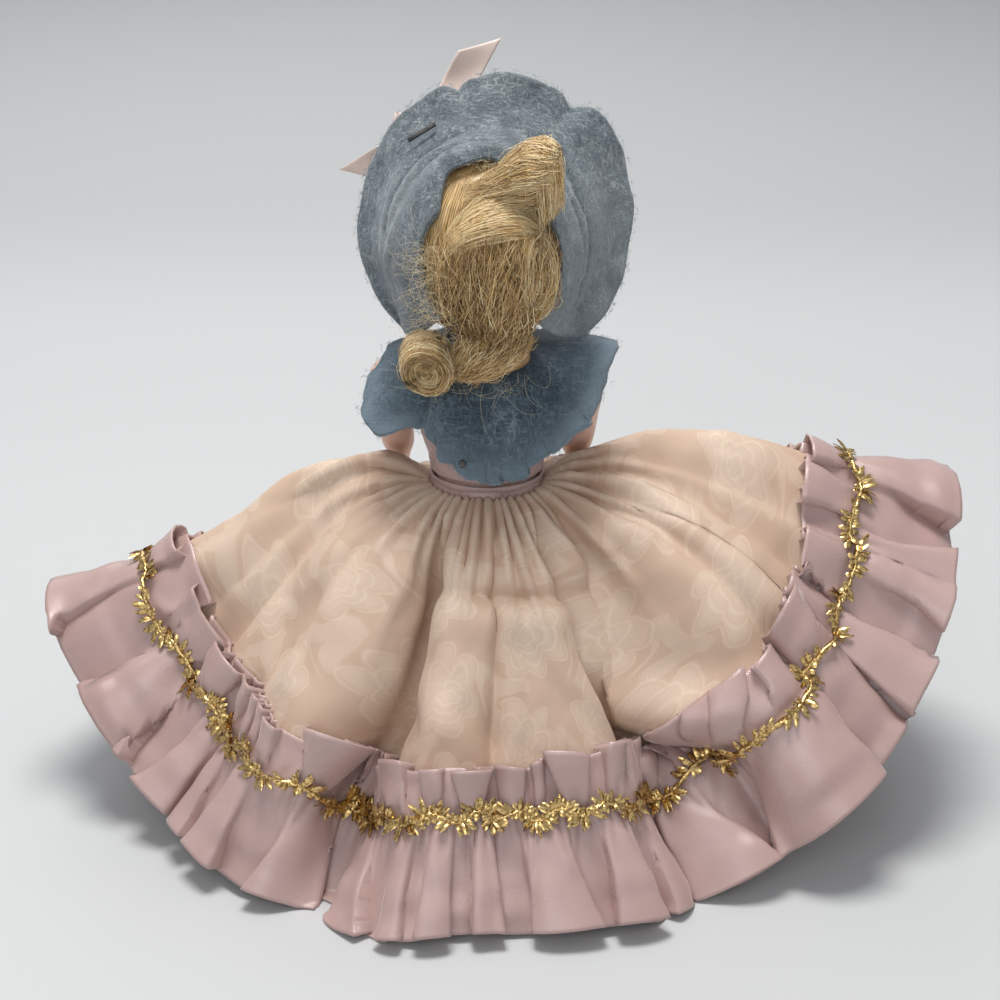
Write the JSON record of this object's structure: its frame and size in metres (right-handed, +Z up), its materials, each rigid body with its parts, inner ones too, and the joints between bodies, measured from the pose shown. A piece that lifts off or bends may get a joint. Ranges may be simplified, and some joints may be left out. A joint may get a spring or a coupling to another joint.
{
  "type": "topsy turvy doll",
  "caption": "Topsy turvy doll: two half dolls joined at the waist, one shown in felt bonnet and capelet, one hidden under a full brocade skirt with a ruffle and gold braid.",
  "frame": {"origin": "the flat spot on the lower doll's crown on which the doll stands", "axes": "+Z up along the two dolls' common axis, both faces towards -Y, +X to the upper doll's left"},
  "size_m": [0.1632, 0.1078, 0.1345],
  "materials": {
    "hard_plastic": "painted flesh colour, satin",
    "turned_wood": "bare",
    "steel_wire": "darkened",
    "elastic_cord": "matt",
    "blonde_mohair": "silky fibre",
    "brown_mohair": "silky fibre",
    "blue_felt": "fuzzy wool felt",
    "pink_satin": "satin ribbon",
    "peach_brocade": "tone on tone damask",
    "lining_taffeta": "plain, soft sheen",
    "gold_gimp": "metallic thread"
  },
  "bodies": {
    "dress_and_torsos": {"torso": "hard_plastic", "under_torso": "hard_plastic", "waist_plug": "turned_wood", "arm_elastic": "elastic_cord", "under_arm_elastic": "elastic_cord", "bodice": "pink_satin", "under_bodice": "pink_satin", "waistband": "pink_satin", "outer_skirt": "peach_brocade", "inner_skirt": "lining_taffeta", "ruffle": "pink_satin", "gold_braid": "gold_gimp", "capelet": "blue_felt", "cape_pin": "steel_wire"},
    "upper_head": {"head": "hard_plastic", "neck_plug": "turned_wood", "wig_cap": "blonde_mohair", "back_hair": "blonde_mohair", "crown_roll": "blonde_mohair", "nape_hair": "blonde_mohair", "side_curl": "blonde_mohair", "bonnet": "blue_felt", "bow_knot": "pink_satin", "bow_loop_left": "pink_satin", "bow_loop_right": "pink_satin", "bow_tail_up": "pink_satin", "bow_tail_side": "pink_satin", "bow_staple": "steel_wire"},
    "lower_head": {"under_head": "hard_plastic", "under_neck_plug": "turned_wood", "under_wig_cap": "brown_mohair"},
    "upper_arm_left": {"arm_left": "hard_plastic", "arm_hook_left": "steel_wire"},
    "upper_arm_right": {"arm_right": "hard_plastic", "arm_hook_right": "steel_wire"},
    "lower_arm_left": {"under_arm_left": "hard_plastic", "under_arm_hook_left": "steel_wire"},
    "lower_arm_right": {"under_arm_right": "hard_plastic", "under_arm_hook_right": "steel_wire"}
  },
  "joints": [
    {"name": "upper_neck_turn", "type": "hinge", "parent": "dress_and_torsos", "child": "upper_head", "pos_m": [0, 0, 0.0852], "axis": [0, 0, 1], "range_deg": [-25, 25]},
    {"name": "lower_neck_turn", "type": "hinge", "parent": "dress_and_torsos", "child": "lower_head", "pos_m": [0, 0, 0.0362], "axis": [0, 0, 1], "range_deg": [-60, 60]},
    {"name": "upper_shoulder_left", "type": "hinge", "parent": "dress_and_torsos", "child": "upper_arm_left", "pos_m": [0.0165, 0, 0.0802], "axis": [-1, 0, 0], "range_deg": [0, 85]},
    {"name": "upper_shoulder_right", "type": "hinge", "parent": "dress_and_torsos", "child": "upper_arm_right", "pos_m": [-0.0165, 0, 0.0802], "axis": [-1, 0, 0], "range_deg": [0, 85]},
    {"name": "lower_shoulder_left", "type": "hinge", "parent": "dress_and_torsos", "child": "lower_arm_left", "pos_m": [-0.0165, 0, 0.0412], "axis": [-1, 0, 0], "range_deg": [0, 30]},
    {"name": "lower_shoulder_right", "type": "hinge", "parent": "dress_and_torsos", "child": "lower_arm_right", "pos_m": [0.0165, 0, 0.0412], "axis": [-1, 0, 0], "range_deg": [0, 30]}
  ]
}
